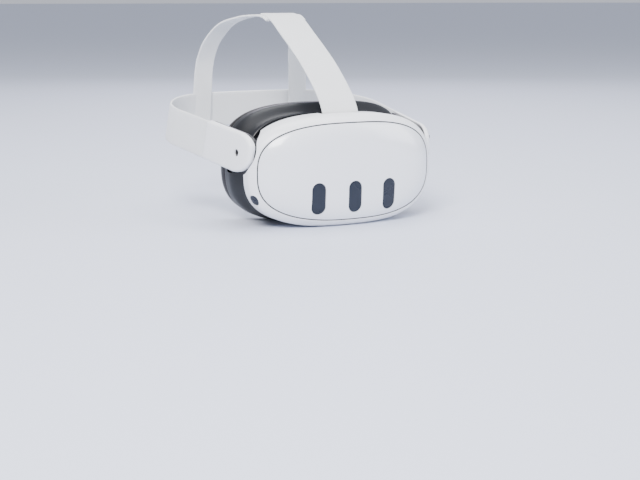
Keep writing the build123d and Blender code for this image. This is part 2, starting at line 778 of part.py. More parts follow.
with BuildPart() as strap_leg:
    for station in range(len(LEG_STATIONS)):
        with BuildSketch(leg_plane(station)):
            Rectangle(LEG_WIDTH, STRAP)
    loft(ruled=True)
with BuildPart() as strap_leg_whole:
    add(band_length(STRAP_IN, LEG_IN, STRAP_JOIN, 2 * REACH, LEG_X0, LEG_X1))
    add(strap_leg.part)
save_pair(strap_leg_whole.part, "strap_leg")

with BuildPart() as top_strap:
    with BuildSketch(upright(0)):
        with BuildLine():
            upper = FilletPolyline(
                (38.2, 63.4), (54, 79), (92, 106), (134, 131.5), (152, 135), radius=[60, 90, 30]
            )
            offset(upper, amount=STRAP, side=Side.RIGHT)
        make_face()
    extrude(amount=STRAP_WIDTH / 2, both=True)
save(top_strap.part, "top_strap")

BAR_R = 1.5
TAB_TOP = (36.2, 60.4)
with BuildPart() as strap_anchor:
    with BuildSketch(upright(-24)):
        with Locations((BAR_Y, BAR_Z)):
            Circle(BAR_R)
    extrude(amount=48)
    with BuildSketch(level(BAR_Z + 2.2)):
        with Locations((22, BAR_Y), (-22, BAR_Y)):
            Rectangle(4, 5)
    extrude(amount=-9)
    add(prism(TUBE_W, TUBE_H, TUBE_FRONT, TUBE_REAR), mode=Mode.SUBTRACT)
save(strap_anchor.part, "strap_anchor")

with BuildPart() as strap_tab:
    with BuildSketch(upright(0)):
        with Locations((BAR_Y, BAR_Z)):
            Circle(BAR_R + 1.1)
        with BuildLine():
            flap = Line((BAR_Y - 2.2, BAR_Z + 1.4), TAB_TOP)
            offset(flap, amount=STRAP, side=Side.RIGHT)
        make_face()
        with Locations((BAR_Y, BAR_Z)):
            Circle(BAR_R, mode=Mode.SUBTRACT)
    extrude(amount=STRAP_WIDTH / 2, both=True)
save(strap_tab.part, "strap_tab")

LIP_TOP, LIP = BAND_HALF + 2.25, 1.6
SLIDER_X, SLIDER_LENGTH = 22.0, 14.0
with BuildPart() as strap_slider:
    with BuildSketch(BAND.offset(-LIP_TOP)):
        with Locations((SLIDER_X, BAND_BACK + 1.4)):
            Rectangle(SLIDER_LENGTH, 2)
    extrude(amount=2 * LIP_TOP)
    for height in (-LIP_TOP, LIP_TOP - LIP):
        with BuildSketch(BAND.offset(height)):
            with Locations((SLIDER_X, BAND_BACK - 1.2)):
                Rectangle(SLIDER_LENGTH, 5)
        extrude(amount=LIP)
save_pair(strap_slider.part, "strap_slider")


# ---- Screws that hold the front frame ----

with BuildPart() as frame_screws:
    with BuildSketch(across(FRAME_FRONT)):
        with Locations(*SCREW_SPOTS):
            Circle(2)
    extrude(amount=1.2)
save(frame_screws.part, "frame_screws")
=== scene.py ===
import json
from math import cos, pi, radians, sin, sqrt, tan

import bmesh
import bpy
import numpy as np
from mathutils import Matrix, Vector


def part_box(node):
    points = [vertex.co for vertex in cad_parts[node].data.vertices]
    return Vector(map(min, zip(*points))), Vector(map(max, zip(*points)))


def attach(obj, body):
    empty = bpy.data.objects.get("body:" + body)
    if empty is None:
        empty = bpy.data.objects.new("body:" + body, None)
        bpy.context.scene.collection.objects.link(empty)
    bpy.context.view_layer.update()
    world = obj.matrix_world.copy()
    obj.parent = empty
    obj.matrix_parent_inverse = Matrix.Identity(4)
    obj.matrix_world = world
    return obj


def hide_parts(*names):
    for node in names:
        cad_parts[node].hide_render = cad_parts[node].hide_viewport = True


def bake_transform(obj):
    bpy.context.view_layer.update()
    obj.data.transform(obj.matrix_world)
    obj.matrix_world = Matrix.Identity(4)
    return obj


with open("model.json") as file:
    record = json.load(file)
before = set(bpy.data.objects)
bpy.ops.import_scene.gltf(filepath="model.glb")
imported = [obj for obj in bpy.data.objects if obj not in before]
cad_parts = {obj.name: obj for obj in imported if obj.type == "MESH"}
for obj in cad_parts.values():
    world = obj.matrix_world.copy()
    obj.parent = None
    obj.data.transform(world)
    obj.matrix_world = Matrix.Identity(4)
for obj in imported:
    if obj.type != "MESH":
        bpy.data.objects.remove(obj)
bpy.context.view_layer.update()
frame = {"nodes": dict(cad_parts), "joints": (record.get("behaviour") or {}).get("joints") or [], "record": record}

# All shapes are in millimetres from the visor's datum: the middle of the front cover, 1.4 mm
# before its foremost point. x runs to the wearer's left, y to the back and z up.
MM = 0.001
cover_lo, cover_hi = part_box("front_cover")
COVER_FRONT, COVER_DROP = 1.4, 4.5
DATUM = np.array((0, cover_lo.y - COVER_FRONT * MM, (cover_lo.z + cover_hi.z) / 2))
BASE_Z = -DATUM[2] / MM

# Visor.
POWER = 2.75
RIM_W, RIM_H = 92.0, 49.5
COVER_W, COVER_H = 85.5, 42.1
LIP_W, LIP_H = 86.6, 43.2
BOW, FACE_FLAT = 500.0, 900.0
RIM_REAR = 37.0
WINDOW_X, WINDOW_Z = 35.3, -22.2
WINDOW_R, WINDOW_HALF = 6.5, 7.5
NOTCH_R = 19.6
POWER_Y, POWER_Z, POWER_R = 29, -9, 3.2
ROCKER_X, ROCKER_Y = -40, 28
SIDE_WINDOW_AT, SIDE_WINDOW_OUT = (86.7, 26.2, -23.0), (0.805, -0.40, -0.436)
SIDE_WINDOW_R, SIDE_WINDOW_HALF = 4.45, 0.9

# Head band, in a plane through the hinge that leans up to the back.
tilt = next(j for j in frame["joints"] if j["name"] == "headband_tilt")
PIVOT = (np.array(tilt["pos_m"]) - DATUM) / MM
LEAN, SPLAY, FLARE = radians(7.05), radians(7.2), radians(7.0)
ALONG = np.array((0, cos(LEAN), sin(LEAN)))
RISE = np.array((0, -sin(LEAN), cos(LEAN)))
BAND_X, BAND_BACK, BAND_BACK_R, BAND_CORNER = 95.6, 184.5, 619.0, 67.5
BAND_HALF = 17.5
ARM_END = 56.0
ARM_SHELL, ARM_DEPTH = 4.5, 8.4
JACK_HOLE_R = 3.22
SLIDER_X, SLIDER_R, SLIDER_HALF = 22.0, 6.5, 9.0
FRONT_CURL = 0.0062

# ---------------------------------------------------------------- camera and stage

CAMERA_AT = Vector((-0.558, -0.9796, 0.1499))
AZIMUTH, ELEVATION = radians(-28.04), radians(10.59)
FLOOR_SIZE = 80.0


def make_camera():
    data = bpy.data.cameras.new("camera")
    data.lens, data.sensor_width = 73.0, 36.0
    data.clip_start, data.clip_end = 0.05, 50
    camera = bpy.data.objects.new("camera", data)
    back = Vector((sin(AZIMUTH) * cos(ELEVATION), -cos(AZIMUTH) * cos(ELEVATION), sin(ELEVATION)))
    camera.location = CAMERA_AT + Vector(DATUM)
    camera.rotation_euler = (-back).to_track_quat("-Z", "Y").to_euler()
    bpy.context.scene.collection.objects.link(camera)
    bpy.context.scene.camera = camera


def area_light(name, place, target, size, power, colour):
    data = bpy.data.lights.new(name, "AREA")
    data.shape, data.size, data.size_y = "RECTANGLE", size[0], size[1]
    data.energy, data.color = power, colour
    light = bpy.data.objects.new(name, data)
    light.location = place
    light.rotation_euler = (Vector(target) - Vector(place)).to_track_quat("-Z", "Y").to_euler()
    bpy.context.scene.collection.objects.link(light)


def make_stage():
    mesh = bpy.data.meshes.new("floor")
    half = FLOOR_SIZE / 2
    corners = [(-half, -half, 0), (half, -half, 0), (half, half, 0), (-half, half, 0)]
    mesh.from_pydata(corners, [], [(0, 1, 2, 3)])
    floor = bpy.data.objects.new("floor", mesh)
    mesh.materials.append(plain("floor_pale", (0.62, 0.66, 0.78), 0.6))
    bpy.context.scene.collection.objects.link(floor)
    world = bpy.data.worlds.new("studio")
    world.use_nodes = True
    world.node_tree.nodes["Background"].inputs["Color"].default_value = (0.74, 0.77, 0.86, 1)
    world.node_tree.nodes["Background"].inputs["Strength"].default_value = 0.85
    bpy.context.scene.world = world
    area_light("key", (-1.1, -1.3, 1.5), (0, 0, 0.1), (0.9, 0.9), 92, (1.0, 0.98, 0.97))
    area_light("fill", (1.7, -1.1, 0.8), (0, 0, 0.1), (1.4, 1.2), 32, (0.94, 0.95, 1.0))
    area_light("top", (0.1, 0.3, 1.9), (0, 0, 0.1), (1.6, 1.2), 42, (0.95, 0.97, 1.0))
    area_light("back", (0.8, 1.5, 0.9), (0, 0, 0.1), (1.2, 0.8), 9, (0.9, 0.86, 1.0))


# ---------------------------------------------------------------- materials


def shader(name, colour, roughness, **settings):
    """New material with one Principled shader; settings are the shader's own constants."""
    material = bpy.data.materials.new(name)
    material.use_nodes = True
    tree = material.node_tree
    surface = tree.nodes["Principled BSDF"]
    surface.inputs["Base Color"].default_value = (*colour, 1)
    surface.inputs["Roughness"].default_value = roughness
    for key, value in settings.items():
        surface.inputs[key.replace("_", " ")].default_value = value
    return material, tree, surface


def plain(name, colour, roughness, **settings):
    return shader(name, colour, roughness, **settings)[0]


def node(tree, kind, **settings):
    made = tree.nodes.new(kind)
    for key, value in settings.items():
        if hasattr(made, key):
            setattr(made, key, value)
        else:
            made.inputs[key.replace("_", " ")].default_value = value
    return made


def noise(tree, coordinate, scale, detail=3.0, rough=0.55):
    made = node(tree, "ShaderNodeTexNoise", Scale=scale, Detail=detail, Roughness=rough)
    tree.links.new(coordinate, made.inputs["Vector"])
    return made.outputs["Fac"]


def spread(tree, value, low, high, to_low, to_high):
    made = node(tree, "ShaderNodeMapRange", From_Min=low, From_Max=high, To_Min=to_low, To_Max=to_high)
    tree.links.new(value, made.inputs["Value"])
    return made.outputs["Result"]


def tint(tree, surface, factor, dark, light):
    ramp = node(tree, "ShaderNodeMix", data_type="RGBA")
    ramp.inputs["A"].default_value = (*dark, 1)
    ramp.inputs["B"].default_value = (*light, 1)
    ramp.inputs[6].default_value = (*dark, 1)
    ramp.inputs[7].default_value = (*light, 1)
    tree.links.new(factor, ramp.inputs["Factor"])
    tree.links.new(ramp.outputs[2], surface.inputs["Base Color"])


def bump(tree, surface, height, distance, strength=1.0):
    made = node(tree, "ShaderNodeBump", Strength=strength, Distance=distance)
    tree.links.new(height, made.inputs["Height"])
    previous = surface.inputs["Normal"].links
    if previous:
        tree.links.new(previous[0].from_socket, made.inputs["Normal"])
    tree.links.new(made.outputs["Normal"], surface.inputs["Normal"])


def moulded(name, colour, roughness, grain=900.0, depth=0.00002, vary=0.03, **settings):
    """Moulded plastic: faint colour drift, patchy gloss and a fine surface grain."""
    material, tree, surface = shader(name, colour, roughness, **settings)
    place = node(tree, "ShaderNodeTexCoord").outputs["Object"]
    drift = noise(tree, place, 14.0, 2.0)
    darker = tuple(c * (1 - vary) for c in colour)
    tint(tree, surface, drift, darker, colour)
    patchy = noise(tree, place, 60.0, 4.0)
    tree.links.new(spread(tree, patchy, 0.3, 0.7, roughness * 0.9, roughness * 1.12), surface.inputs["Roughness"])
    bump(tree, surface, noise(tree, place, grain, 2.0), depth)
    return material


def woven(name, colour, pitch=0.00085):
    """Elastic webbing: herringbone ribs across the strap from its own length and width, with painted shade in the rib
    troughs.
    """
    material, tree, surface = shader(name, colour, 0.86, Sheen_Weight=0.25, Sheen_Roughness=0.5)
    uv = node(tree, "ShaderNodeUVMap", uv_map="strap").outputs["UV"]
    split = node(tree, "ShaderNodeSeparateXYZ")
    tree.links.new(uv, split.inputs[0])

    def math(operation, a, b=None):
        made = node(tree, "ShaderNodeMath", operation=operation)
        for index, value in enumerate((a, b)):
            if value is None:
                continue
            if isinstance(value, (int, float)):
                made.inputs[index].default_value = value
            else:
                tree.links.new(value, made.inputs[index])
        return made.outputs[0]

    along, across = split.outputs["X"], split.outputs["Y"]
    ribs = math("MULTIPLY", math("ADD", math("SINE", math("MULTIPLY", across, 2 * pi / pitch)), 1.0), 0.5)
    shifted = math("ADD", along, math("MULTIPLY", ribs, pitch / 2))
    picks = math("SINE", math("MULTIPLY", shifted, 2 * pi / (pitch * 1.3)))
    cloth = math("ADD", ribs, math("MULTIPLY", picks, 0.35))
    fuzz = noise(tree, node(tree, "ShaderNodeTexCoord").outputs["Object"], 1500.0, 4.0)
    weave = math("ADD", cloth, math("MULTIPLY", fuzz, 0.5))
    stain = noise(tree, node(tree, "ShaderNodeTexCoord").outputs["Object"], 30.0, 4.0)
    # Base colour: painted shade that darkens the rib troughs the bump sinks, mixed with random stain tone.
    rib_shade_and_stain = math("ADD", math("MULTIPLY", ribs, 0.35), math("MULTIPLY", stain, 0.65))
    tint(tree, surface, rib_shade_and_stain, tuple(c * 0.88 for c in colour), tuple(min(c * 1.04, 1) for c in colour))
    bump(tree, surface, weave, 0.00012, 0.6)
    return material


def leatherette(name, colour, roughness):
    """Soft black cover stock: pebbled grain with slightly worn gloss."""
    material, tree, surface = shader(
        name, colour, roughness, Sheen_Weight=0.05, Sheen_Roughness=0.4, Specular_IOR_Level=0.3
    )
    place = node(tree, "ShaderNodeTexCoord").outputs["Object"]
    cells = node(tree, "ShaderNodeTexVoronoi", Scale=900.0)
    tree.links.new(place, cells.inputs["Vector"])
    dark, light = (tuple(c * share for c in colour) for share in (0.7, 1.5))
    tint(tree, surface, noise(tree, place, 25.0, 3.0), dark, light)
    patchy = noise(tree, place, 90.0, 3.0)
    tree.links.new(spread(tree, patchy, 0.3, 0.7, roughness * 0.85, roughness * 1.2), surface.inputs["Roughness"])
    bump(tree, surface, cells.outputs["Distance"], 0.00008, 0.5)
    bump(tree, surface, noise(tree, place, 300.0, 4.0), 0.0001, 0.4)
    return material


def metal(name, colour, roughness):
    material, tree, surface = shader(name, colour, roughness, Metallic=1.0)
    place = node(tree, "ShaderNodeTexCoord").outputs["Object"]
    stretch = node(tree, "ShaderNodeMapping")
    stretch.inputs["Scale"].default_value = (1.0, 1.0, 12.0)
    tree.links.new(place, stretch.inputs["Vector"])
    brushed = noise(tree, stretch.outputs["Vector"], 700.0, 3.0)
    tint(tree, surface, brushed, tuple(c * 0.85 for c in colour), colour)
    tree.links.new(spread(tree, brushed, 0.3, 0.7, roughness * 0.8, roughness * 1.3), surface.inputs["Roughness"])
    return material


def coated_lens_painted_reflection(name):
    material, tree, surface = shader(
        name, (0.02, 0.02, 0.03), 0.04, Coat_Weight=1.0, Coat_Roughness=0.02, Coat_IOR=1.9
    )
    facing = node(tree, "ShaderNodeLayerWeight", Blend=0.35)
    # Base colour: painted reflection, a purple coating glint that grows towards grazing view and stays dark where the
    # lens faces the camera.
    tint(tree, surface, facing.outputs["Facing"], (0.012, 0.03, 0.045), (0.16, 0.04, 0.2))
    return material


def make_materials():
    return {
        "cover": moulded("cover_white_gloss", (0.80, 0.82, 0.87), 0.2, 500.0, 0.000006, 0.015,
                         Coat_Weight=0.5, Coat_Roughness=0.12),
        "shell": moulded("shell_white_satin", (0.82, 0.83, 0.86), 0.34, 1400.0, 0.00002, 0.02),
        "control": moulded("control_white_satin", (0.70, 0.71, 0.74), 0.4, 1400.0),
        "black": moulded("black_satin_plastic", (0.018, 0.018, 0.021), 0.38, 1200.0, 0.00004, 0.3),
        "gloss_black": moulded("interface_black", (0.010, 0.011, 0.014), 0.42, 900.0, 0.00002, 0.3,
                               Coat_Weight=0.1, Coat_Roughness=0.2, Specular_IOR_Level=0.3),
        "window": moulded("window_dark_glass", (0.012, 0.016, 0.028), 0.28, 300.0, 0.000003, 0.15,
                          Coat_Weight=0.15, Coat_Roughness=0.1, Specular_IOR_Level=0.25),
        "strap": woven("strap_webbing", (0.74, 0.755, 0.765)),
        "cushion": leatherette("cushion_leatherette", (0.016, 0.014, 0.015), 0.42),
        "rubber": moulded("black_rubber", (0.02, 0.02, 0.022), 0.62, 2000.0, 0.00005, 0.25),
        "lens": coated_lens_painted_reflection("coated_lens_painted_reflection"),
        "board": moulded("board_green", (0.02, 0.12, 0.06), 0.45, 800.0, 0.00005, 0.3),
        "alloy": metal("cast_alloy", (0.5, 0.51, 0.53), 0.42),
        "steel": metal("ground_steel", (0.6, 0.6, 0.62), 0.28),
        "cell": moulded("battery_wrap", (0.10, 0.11, 0.12), 0.5, 600.0, 0.00003, 0.2),
    }


SLOT_MATERIAL = {
    "cover_white": "cover", "shell_white": "shell", "black_plastic": "black", "dark_window": "window",
    "strap_fabric": "strap", "foam_black": "cushion", "rubber_black": "rubber", "lens_glass": "lens",
    "board_green": "board", "alloy": "alloy", "steel": "steel", "cell_grey": "cell",
}


NODE_MATERIAL = {
    "volume_rocker": "control", "power_button": "control", "audio_jack": "rubber", "charging_port": "black",
}


def dress_cad():
    """Give every carried-over CAD node its material."""
    slots = {row["node"]: row["material_slot"] for row in frame["record"]["subparts"]}
    for name, obj in frame["nodes"].items():
        chosen = NODE_MATERIAL.get(name, SLOT_MATERIAL[slots[name]])
        for index in range(max(len(obj.material_slots), 1)):
            if not obj.material_slots:
                obj.data.materials.append(MATERIAL[chosen])
            obj.material_slots[index].material = MATERIAL[chosen]


# ---------------------------------------------------------------- mesh tools


def sharpen(mesh, angle):
    """Smooth shading with hard edges where faces meet at more than angle degrees."""
    work = bmesh.new()
    work.from_mesh(mesh)
    bmesh.ops.recalc_face_normals(work, faces=work.faces)
    for face in work.faces:
        face.smooth = True
    for edge in work.edges:
        edge.smooth = len(edge.link_faces) == 2 and edge.calc_face_angle(0) < radians(angle)
    work.to_mesh(mesh)
    work.free()


def solid(name, points, faces, material, uv=None, angle=35):
    """New mesh object from points in millimetres from the datum."""
    mesh = bpy.data.meshes.new(name)
    mesh.from_pydata((np.asarray(points) * MM + DATUM).tolist(), [], faces)
    if uv is not None:
        layer = mesh.uv_layers.new(name="strap")
        corners = np.zeros(len(mesh.loops), int)
        mesh.loops.foreach_get("vertex_index", corners)
        layer.data.foreach_set("uv", (np.asarray(uv) * MM)[corners].ravel())
    sharpen(mesh, angle)
    mesh.materials.append(MATERIAL[material])
    obj = bpy.data.objects.new(name, mesh)
    bpy.context.scene.collection.objects.link(obj)
    return obj


def fit(obj, body, slot, *nodes):
    """Put a finished piece on its body, in place of CAD nodes."""
    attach(obj, body)
    if nodes:
        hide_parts(*nodes)
    return obj


def ring_faces(rings, count, closed=False, capped=True):
    """Faces of a skin through rings of count points; closed joins the last ring to the first."""
    faces = []
    for i in range(rings if closed else rings - 1):
        below, above = i * count, ((i + 1) % rings) * count
        for j in range(count):
            k = (j + 1) % count
            faces.append((below + j, below + k, above + k, above + j))
    if capped and not closed:
        faces.append(tuple(range(count)))
        faces.append(tuple(range((rings - 1) * count, rings * count))[::-1])
    return faces


def skin(name, rings, material, closed=False, capped=True, angle=35):
    rings = np.asarray(rings)
    faces = ring_faces(len(rings), rings.shape[1], closed, capped)
    return solid(name, rings.reshape(-1, 3), faces, material, angle=angle)


def cut(target, *cutters, angle=35):
    """Subtract the cutters from the target and remove them."""
    for cutter in cutters:
        step = target.modifiers.new("cut", "BOOLEAN")
        step.operation, step.solver, step.object = "DIFFERENCE", "EXACT", cutter
    shape = bpy.context.evaluated_depsgraph_get()
    shape.update()
    mesh = bpy.data.meshes.new_from_object(target.evaluated_get(shape))
    target.modifiers.clear()
    target.data = mesh
    for cutter in cutters:
        bpy.data.objects.remove(cutter)
    work = bmesh.new()
    work.from_mesh(mesh)
    bmesh.ops.remove_doubles(work, verts=work.verts, dist=0.000004)
    bmesh.ops.dissolve_degenerate(work, edges=work.edges, dist=0.000003)
    work.to_mesh(mesh)
    work.free()
    sharpen(mesh, angle)


def unit_outline(power, count=176):
    """Points evenly spaced round a rounded outline, as shares of its half sizes."""
    turn = np.linspace(0, 2 * pi, 8001)
    across = np.sign(np.cos(turn)) * np.abs(np.cos(turn)) ** (2 / power)
    up = np.sign(np.sin(turn)) * np.abs(np.sin(turn)) ** (2 / power)
    run = np.concatenate(([0], np.cumsum(np.hypot(np.diff(across * RIM_W), np.diff(up * RIM_H)))))
    even = np.linspace(0, run[-1], count, endpoint=False)
    return np.stack((np.interp(even, run, across), np.interp(even, run, up)), 1)


OUTLINE = unit_outline(POWER)


def visor_ring(width, height, y, lift=0.0):
    """Ring of the visor's outline; y is a number or a function of x and z."""
    x, z = OUTLINE[:, 0] * width, OUTLINE[:, 1] * height + lift
    depth = y(x, z) if callable(y) else np.full_like(x, y)
    return np.stack((x, depth, z), 1)


def pill(radius, half, steps=12):
    """Upright pill outline about its middle, as x and z."""
    turn = np.linspace(0, pi, steps + 1)
    top = np.stack((radius * np.cos(turn), half + radius * np.sin(turn)), 1)
    return np.concatenate((top, -top))


def prism(name, outline, low, high):
    """Cutter along y from an x, z outline."""
    rings = [np.stack((outline[:, 0], np.full(len(outline), y), outline[:, 1]), 1) for y in (low, high)]
    return skin(name, rings, "black")


def rod(name, start, end, radius, count=48):
    """Cutter or pin: a cylinder from start to end."""
    start, end = np.array(start, float), np.array(end, float)
    axis = (end - start) / np.linalg.norm(end - start)
    side = np.cross(axis, (0.3, 0.5, 0.8))
    side /= np.linalg.norm(side)
    other = np.cross(axis, side)
    turn = np.linspace(0, 2 * pi, count, endpoint=False)[:, None]
    ring = radius * (np.cos(turn) * side + np.sin(turn) * other)
    return skin(name, [start + ring, end + ring], "black")


def smooth_path(points, count):
    """Evenly spaced points on a smooth curve through the given ones."""
    points = np.asarray(points, float)
    ends = np.concatenate(([2 * points[0] - points[1]], points, [2 * points[-1] - points[-2]]))
    found = []
    for i in range(1, len(ends) - 2):
        p0, p1, p2, p3 = ends[i - 1:i + 3]
        t = np.linspace(0, 1, 40, endpoint=False)[:, None]
        found.append(0.5 * (2 * p1 + (p2 - p0) * t + (2 * p0 - 5 * p1 + 4 * p2 - p3) * t**2
                            + (3 * p1 - p0 - 3 * p2 + p3) * t**3))
    line = np.concatenate((*found, points[-1:]))
    run = np.concatenate(([0], np.cumsum(np.linalg.norm(np.diff(line, axis=0), axis=1))))
    even = np.linspace(0, run[-1], count)
    return np.stack([np.interp(even, run, line[:, k]) for k in range(points.shape[1])], 1)


def strap_section(width, thickness, columns=10, corner=3):
    """Rounded-edge strap section: offsets across the width and through the thickness."""
    r = thickness / 2
    flat = np.linspace(-width / 2 + r, width / 2 - r, columns)
    edge = np.linspace(pi / 2, -pi / 2, 2 * corner + 1)[1:-1]
    top = np.stack((flat, np.full(columns, r)), 1)
    right = np.stack((width / 2 - r + r * np.cos(edge), r * np.sin(edge)), 1)
    return np.concatenate((top, right, -top, -right))


def ribbon(name, path, across, width, thickness, material="strap", crown=0.0):
    """Strap along path; across is its width direction at each point."""
    path, across = np.asarray(path, float), np.asarray(across, float)
    forward = np.gradient(path, axis=0)
    forward /= np.linalg.norm(forward, axis=1)[:, None]
    across = across - forward * (across * forward).sum(1)[:, None]
    across /= np.linalg.norm(across, axis=1)[:, None]
    outward = np.cross(forward, across)
    section = strap_section(width, thickness)
    bulge = crown * (1 - (2 * section[:, 0] / width) ** 2)
    rings = (path[:, None] + section[None, :, :1] * across[:, None]
             + (section[:, 1] + bulge)[None, :, None] * outward[:, None])
    run = np.concatenate(([0], np.cumsum(np.linalg.norm(np.diff(path, axis=0), axis=1))))
    uv = np.stack(np.broadcast_arrays(run[:, None], section[None, :, 0]), 2)
    faces = ring_faces(len(path), len(section))
    return solid(name, rings.reshape(-1, 3), faces, material, uv.reshape(-1, 2), angle=60)


# ---------------------------------------------------------------- visor


def cover_y(x, z, width=COVER_W, height=COVER_H):
    """Front surface of the cover: nearly flat, then rolling back to the parting line."""
    share = (np.abs(x / width) ** POWER + np.abs(z / height) ** POWER) ** (1 / POWER)
    roll = 0.14 * share**2 + 0.86 * share**6
    return COVER_FRONT + x**2 / FACE_FLAT + roll * (COVER_DROP + x**2 * (1 / BOW - 1 / FACE_FLAT))


def make_cover():
    shares = np.concatenate(([0.012, 0.04], np.linspace(0.08, 0.9, 26), np.linspace(0.915, 0.995, 9)))
    rings = [visor_ring(COVER_W * s, COVER_H * s, cover_y) for s in shares]
    edge_y = COVER_FRONT + COVER_DROP
    for inset, back in ((0.0, 0.06), (0.02, 0.3), (0.15, 0.62), (0.5, 0.95), (2.2, 1.0)):
        rings.append(visor_ring(COVER_W - inset, COVER_H - inset, lambda x, z, b=back: edge_y + b + x**2 / BOW))
    for s in shares[::-3]:
        rings.append(visor_ring((COVER_W - 2.4) * s, (COVER_H - 2.4) * s, lambda x, z: cover_y(x, z) + 2.1))
    cover = skin("visor_front_cover", rings, "cover", angle=50)
    cutters = []
    for x in (-WINDOW_X, 0, WINDOW_X):
        outline = pill(WINDOW_R + 0.12, WINDOW_HALF, 20) + (x, WINDOW_Z)
        cutters.append(prism("window_cutter", outline, -20, 30))
    cut(cover, *cutters, angle=40)
    return fit(cover, "headset", "cover_white", "front_cover")


def make_windows():
    """Dark pill windows set just below the cover's surface, with a rounded lip."""
    for name, x in (("right", -WINDOW_X), ("centre", 0.0), ("left", WINDOW_X)):
        rings = []
        flat_part = ((0.4, 0.0), (2.5, 0.0), (4.5, 0.0), (5.9, 0.0))
        edge_part = ((6.2, 0.04), (6.38, 0.18), (6.42, 0.5), (6.42, 1.8))
        for radius, sunk in flat_part + edge_part:
            flat = pill(radius, WINDOW_HALF, 16) + (x, WINDOW_Z)
            y = cover_y(flat[:, 0], flat[:, 1]) + 0.28 + sunk
            rings.append(np.stack((flat[:, 0], y, flat[:, 1]), 1))
        window = skin(f"visor_window_{name}", rings, "window", angle=60)
        fit(window, "headset", "dark_window", f"camera_window_{name}")


def front_to_rear(share):
    """Depth function that runs from the parting line, share 0, to the rim's rear edge, share 1."""
    parting = COVER_FRONT + COVER_DROP
    return lambda x, z: (parting + x**2 / BOW) * (1 - share) + RIM_REAR * share


def make_rim():
    rings = []

    def ring(width, height, share):
        rings.append(visor_ring(width, height, front_to_rear(share)))

    ring(84.6, 41.2, 0.16)
    ring(86.3, 42.9, 0.075)
    ring(86.42, 43.02, 0.022)
    ring(86.56, 43.16, 0.009)
    start = radians(40)
    for angle in np.linspace(start, pi / 2, 18):
        outward = (sin(angle) - sin(start)) / (1 - sin(start))
        back = (cos(start) - cos(angle)) / cos(start)
        width = LIP_W + 0.2 + (RIM_W - LIP_W - 0.2) * outward
        height = LIP_H + 0.2 + (RIM_H - LIP_H - 0.2) * outward
        ring(width, height, 0.008 + 0.42 * back)
    for share in (0.52, 0.62, 0.74, 0.86, 0.95):
        ring(RIM_W, RIM_H, share)
    ring(RIM_W - 0.05, RIM_H - 0.05, 0.982)
    ring(RIM_W - 0.25, RIM_H - 0.25, 0.996)
    ring(RIM_W - 0.6, RIM_H - 0.6, 1.0)
    ring(RIM_W - 2.0, RIM_H - 2.0, 1.0)
    ring(RIM_W - 2.5, RIM_H - 2.5, 0.98)
    for share in (0.8, 0.6, 0.45):
        ring(RIM_W - 2.5, RIM_H - 2.5, share)
    rim = skin("visor_rim", np.array(rings), "shell", closed=True, angle=40)
    points = np.array([v.co for v in rim.data.vertices])
    points[:, 2] = np.maximum(points[:, 2], 0.0)
    rim.data.vertices.foreach_set("co", points.ravel())
    cutters = [rod("arm_notch", (-120, PIVOT[1], PIVOT[2]), (120, PIVOT[1], PIVOT[2]), NOTCH_R, 96)]
    cutters.append(box_cutter("strap_slot", (0, 34, 52), (39, 13, 14)))
    for side in (1, -1):
        cutters.append(side_window_cutter(side))
    cutters.append(rod("power_hole", (80, POWER_Y, POWER_Z), (110, POWER_Y, POWER_Z), POWER_R, 40))
    cutters.append(box_cutter("wheel_slot", (57.5, 26, -45), (6.2, 18, 24)))
    outline = pill(2.9, 6.5, 10)
    across, back = outline[:, 1] + ROCKER_X, outline[:, 0] + ROCKER_Y
    rings = [np.stack((across, back, np.full(len(outline), z)), 1) for z in (-60, -42)]
    cutters.append(skin("rocker_slot", rings, "black"))
    cut(rim, *cutters, angle=35)
    return fit(rim, "headset", "shell_white", "rim_housing")


def box_cutter(name, middle, size):
    half = np.array(size) / 2
    corners = np.array(((-1, -1), (1, -1), (1, 1), (-1, 1)))
    rings = [np.array([(middle[0] + half[0] * a, middle[1] + half[1] * b, middle[2] + half[2] * c) for a, b in corners])
             for c in (-1, 1)]
    return skin(name, rings, "black")


def side_axes(side):
    """Middle of a side camera window on the rim's shoulder; outward, upright and level directions."""
    mirror = np.array((side, 1, 1))
    middle = mirror * SIDE_WINDOW_AT
    out = mirror * SIDE_WINDOW_OUT
    out /= np.linalg.norm(out)
    upright = np.cross((0, 1, 0), out)
    upright /= np.linalg.norm(upright)
    return middle, out, upright, np.cross(upright, out)


def side_window_rings(side, steps):
    middle, out, upright, level = side_axes(side)
    rings = []
    for radius, lift in steps:
        flat = pill(radius, SIDE_WINDOW_HALF, 14)
        rings.append(middle + flat[:, :1] * level + flat[:, 1:] * upright + lift * out)
    return rings


def side_window_cutter(side):
    return skin("side_cutter", side_window_rings(side, ((SIDE_WINDOW_R, 6), (SIDE_WINDOW_R, -6))), "black")


def make_side_windows():
    for side, word in ((1, "left"), (-1, "right")):
        steps = ((0.3, -0.35), (2.4, -0.4), (3.8, -0.6), (4.25, -0.85), (4.38, -1.2), (4.38, -2.4))
        window = skin(f"side_window_{word}", side_window_rings(side, steps), "window", angle=60)
        fit(window, "headset", "dark_window", f"side_camera_window_{word}")


def make_seal():
    """Dark gasket at the bottom of the parting line."""
    rings = [visor_ring(w, h, front_to_rear(s)) for w, h, s in
             ((84.2, 40.8, 0.05), (86.5, 43.1, 0.05), (86.5, 43.1, 0.014), (84.2, 40.8, 0.018))]
    seal = skin("parting_gasket", rings, "rubber", closed=True)
    fit(seal, "headset", "rubber_black", "parting_seal")


# ---------------------------------------------------------------- facial interface

FACE_POWER = 3.2
FACE_OUTLINE = unit_outline(FACE_POWER)
SKIRT_W, SKIRT_H = 82.2, 48.4
FACE_W, FACE_H, FACE_Z = 89.0, 54.2, 3.0
SKIRT_FRONT, FACE_FRONT, FACE_BOW = 50.0, 64.0, 407.0
NOSE_W, NOSE_H = 20.0, 35.0


